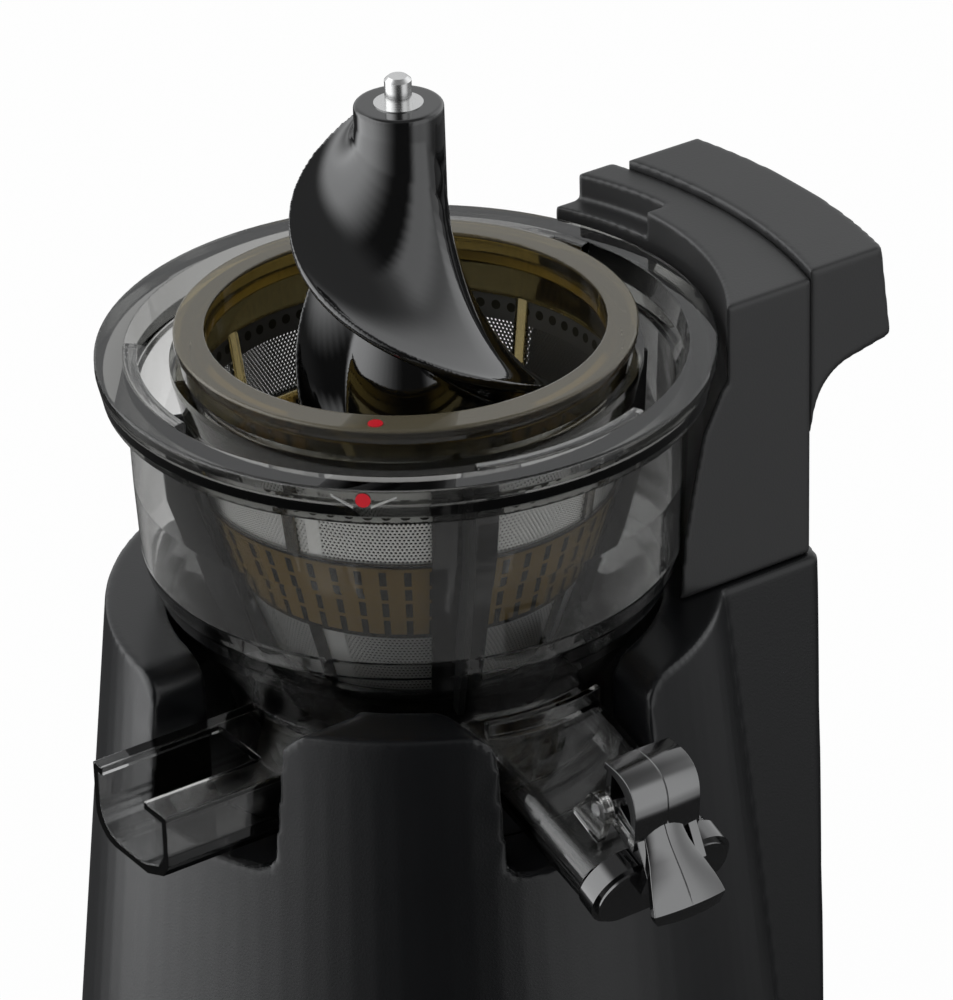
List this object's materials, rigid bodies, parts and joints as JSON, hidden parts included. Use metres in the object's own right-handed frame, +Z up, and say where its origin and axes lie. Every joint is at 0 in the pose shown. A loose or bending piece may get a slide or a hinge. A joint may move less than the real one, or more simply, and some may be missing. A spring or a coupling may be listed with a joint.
{
  "type": "cold press juicer",
  "caption": "Upright slow juicer base with open juicing bowl: auger, amber strainer, brush holder, pulp trough, juice spout with lever cap, and a tower with a rear grip.",
  "frame": {"origin": "on the bowl's axis at the level of the table, in the plane the foot ring stands on", "axes": "+Z up along the auger, -Y towards the juice spout, -X towards the pulp trough, +X towards the tower and grip"},
  "size_m": [0.2586, 0.2608, 0.3858],
  "materials": {
    "body": "fine satin grain",
    "tower": "fine satin grain",
    "inner": "plain moulded",
    "foot": "matt",
    "seal": "matt silicone",
    "screw": "zinc plated",
    "steel": "ground",
    "can": "pressed steel",
    "lamination": "varnished laminations",
    "housing": "die cast",
    "gear": "natural acetal",
    "fan": "plain moulded",
    "capacitor": "plain moulded",
    "board": "solder mask",
    "switch": "gloss",
    "bowl": "clear smoky plastic, gloss",
    "mark": "gloss",
    "cap": "gloss",
    "frame": "clear amber plastic, gloss",
    "mesh": "punched sheet",
    "holder": "satin",
    "auger": "high gloss"
  },
  "bodies": {
    "base": {"body_shell": "body", "tower_cover": "tower", "handle_shell": "tower", "dock_deck": "inner", "shaft_seal": "seal", "base_plate": "inner", "foot_ring": "foot", "base_screws": "screw", "cord_gland": "inner", "motor_can": "can", "motor_stator": "lamination", "motor_bearings": "steel", "gearbox_housing": "housing", "gearbox_mid_plate": "housing", "gearbox_lid": "housing", "gearbox_screws": "screw", "counter_pin": "steel", "drive_bearings": "steel", "run_capacitor": "capacitor", "control_board": "board", "lid_sensor": "inner", "rocker_bezel": "switch"},
    "rocker": {"power_rocker": "switch"},
    "motor": {"motor_rotor": "lamination", "motor_shaft": "steel", "cooling_fan": "fan"},
    "counter": {"counter_gear": "gear"},
    "drive": {"output_gear": "gear", "drive_shaft": "steel"},
    "bowl": {"bowl": "bowl", "bowl_mark": "mark", "bowl_seal": "seal", "pulp_plug": "seal", "idler_pin": "steel", "hinge_pin": "steel"},
    "idler": {"idler_gear": "gear"},
    "lever": {"spout_cap": "cap", "cap_seal": "seal", "cap_lever": "cap"},
    "strainer": {"strainer_frame": "frame", "upper_mesh": "mesh", "lower_mesh": "mesh", "strainer_mark": "mark"},
    "brush": {"brush_holder": "holder", "wiper_blades": "seal"},
    "auger": {"auger_body": "auger", "auger_pin": "steel", "auger_washer": "steel"}
  },
  "joints": [
    {"name": "bowl_lift", "type": "slide", "parent": "base", "child": "bowl", "axis": [0, 0, 1], "range_m": [0, 0.15]},
    {"name": "strainer_lift", "type": "slide", "parent": "bowl", "child": "strainer", "axis": [0, 0, 1], "range_m": [0, 0.13]},
    {"name": "motor_spin", "type": "hinge", "parent": "base", "child": "motor", "pos_m": [0, 0, 0.07], "axis": [0, 0, 1], "continuous": true},
    {"name": "counter_spin", "type": "hinge", "parent": "base", "child": "counter", "pos_m": [0.045, 0, 0.105], "axis": [0, 0, 1], "continuous": true},
    {"name": "drive_spin", "type": "hinge", "parent": "base", "child": "drive", "pos_m": [0, 0, 0.12], "axis": [0, 0, 1], "continuous": true},
    {"name": "auger_spin", "type": "hinge", "parent": "strainer", "child": "auger", "pos_m": [0, 0, 0.3], "axis": [0, 0, 1], "continuous": true},
    {"name": "idler_spin", "type": "hinge", "parent": "bowl", "child": "idler", "pos_m": [0.02068, 0.01735, 0.195], "axis": [0, 0, 1], "continuous": true},
    {"name": "brush_spin", "type": "hinge", "parent": "bowl", "child": "brush", "pos_m": [0, 0, 0.24], "axis": [0, 0, 1], "continuous": true},
    {"name": "cap_hinge", "type": "hinge", "parent": "bowl", "child": "lever", "pos_m": [-0.0038, -0.1179, 0.20304], "axis": [-1, 0, 0], "range_deg": [0, 70]},
    {"name": "rocker_tilt", "type": "hinge", "parent": "base", "child": "rocker", "pos_m": [0.11293, -0.00715, 0.12], "axis": [0, 0, 1], "range_deg": [0, 12]}
  ],
  "couplings": [
    {"joint": "counter_spin", "follows": "motor_spin", "ratio": -0.2},
    {"joint": "drive_spin", "follows": "motor_spin", "ratio": 0.04},
    {"joint": "auger_spin", "follows": "motor_spin", "ratio": 0.04},
    {"joint": "idler_spin", "follows": "motor_spin", "ratio": -0.062857},
    {"joint": "brush_spin", "follows": "motor_spin", "ratio": -0.0176}
  ]
}
